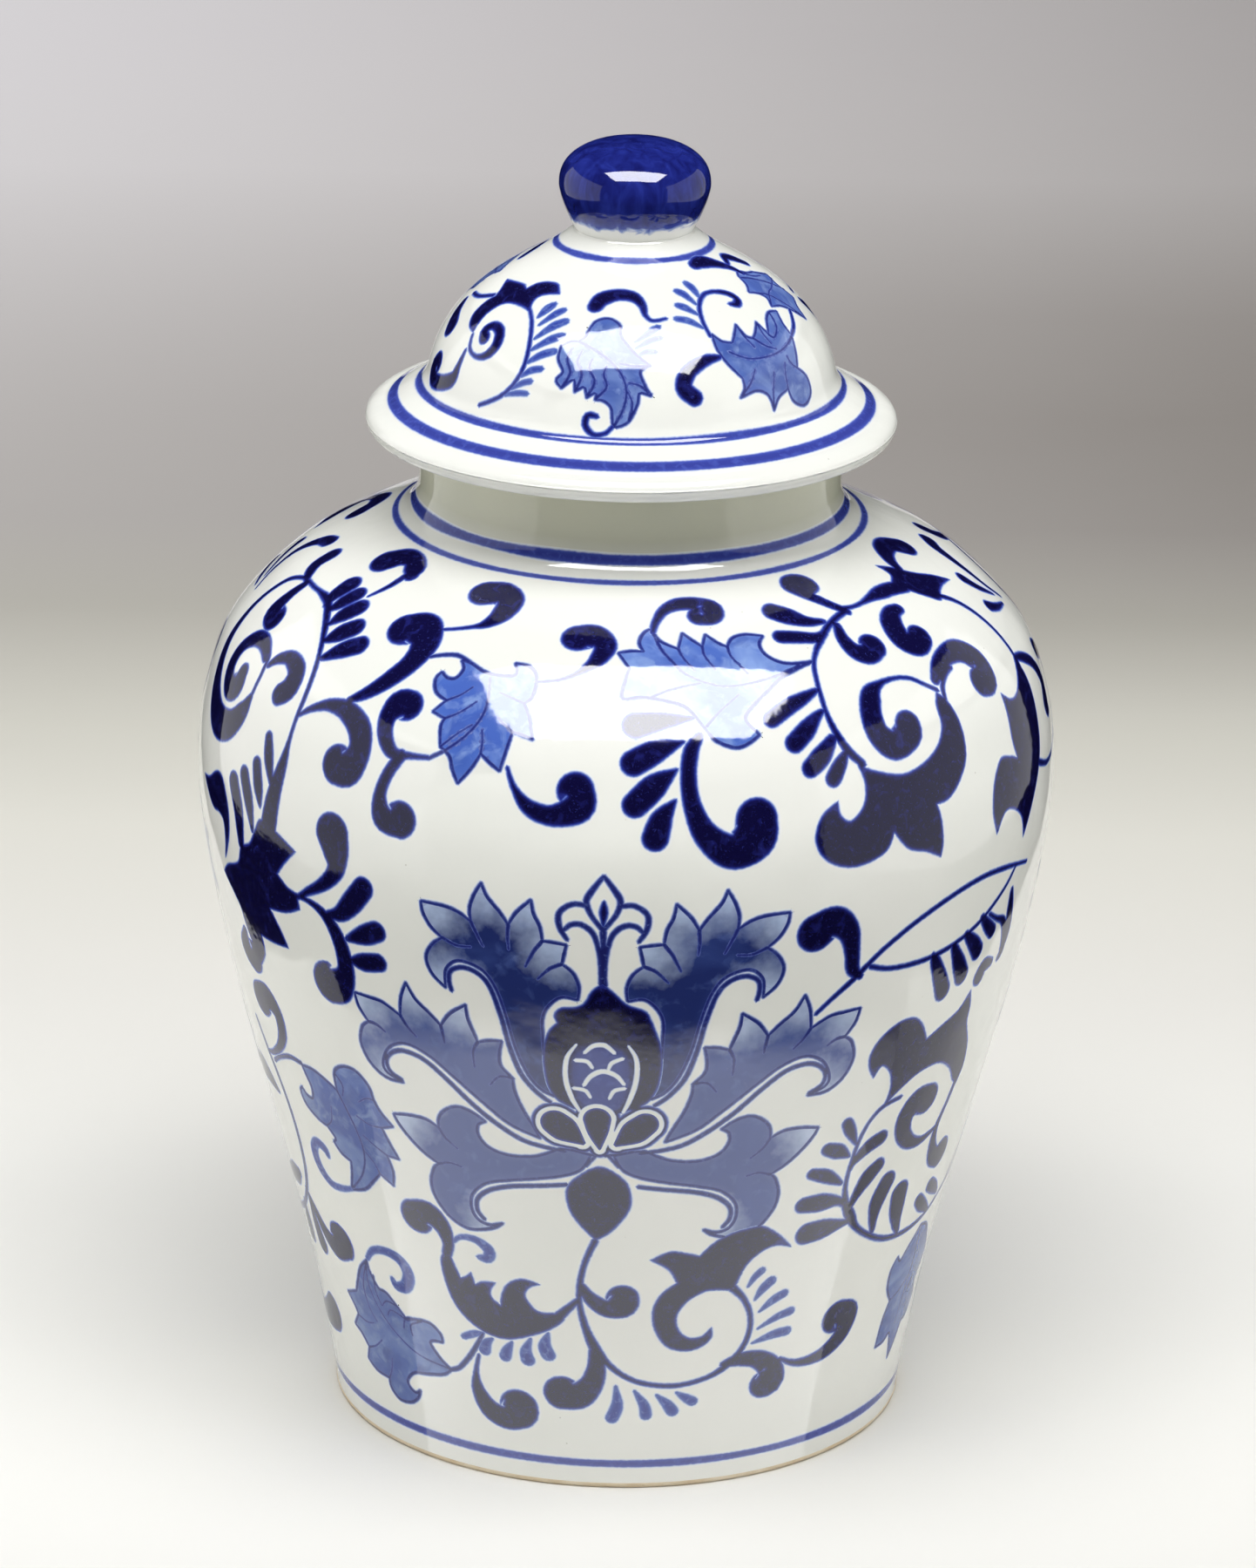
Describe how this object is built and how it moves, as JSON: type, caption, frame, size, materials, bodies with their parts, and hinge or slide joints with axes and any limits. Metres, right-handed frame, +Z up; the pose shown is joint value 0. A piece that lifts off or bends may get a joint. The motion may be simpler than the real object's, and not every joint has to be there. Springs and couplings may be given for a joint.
{
  "type": "ginger jar",
  "caption": "Lidded porcelain ginger jar with high round shoulders, a domed lid and a knob, painted in cobalt blue under the glaze.",
  "frame": {"origin": "centre of the foot ring, on the surface the jar stands on", "axes": "+Z up along the jar's axis of turning, towards the knob; -Y is the front, which shows the lotus; +X is to the viewer's right"},
  "size_m": [0.2332, 0.2332, 0.3556],
  "materials": {
    "jar_glaze": "clear gloss glaze over white porcelain with cobalt painting",
    "lid_glaze": "clear gloss glaze over white porcelain with cobalt painting",
    "knob_glaze": "clear gloss glaze over solid brushed cobalt",
    "lid_biscuit": "unglazed matt porcelain"
  },
  "bodies": {
    "jar": {"jar_body": "jar_glaze"},
    "lid": {"lid_dome": "lid_glaze", "lid_locating_ring": "lid_biscuit", "lid_knob": "knob_glaze"}
  },
  "joints": [
    {"name": "lid_lift", "type": "slide", "parent": "jar", "child": "lid", "axis": [0, 0, 1], "range_m": [0, 0.08]}
  ]
}
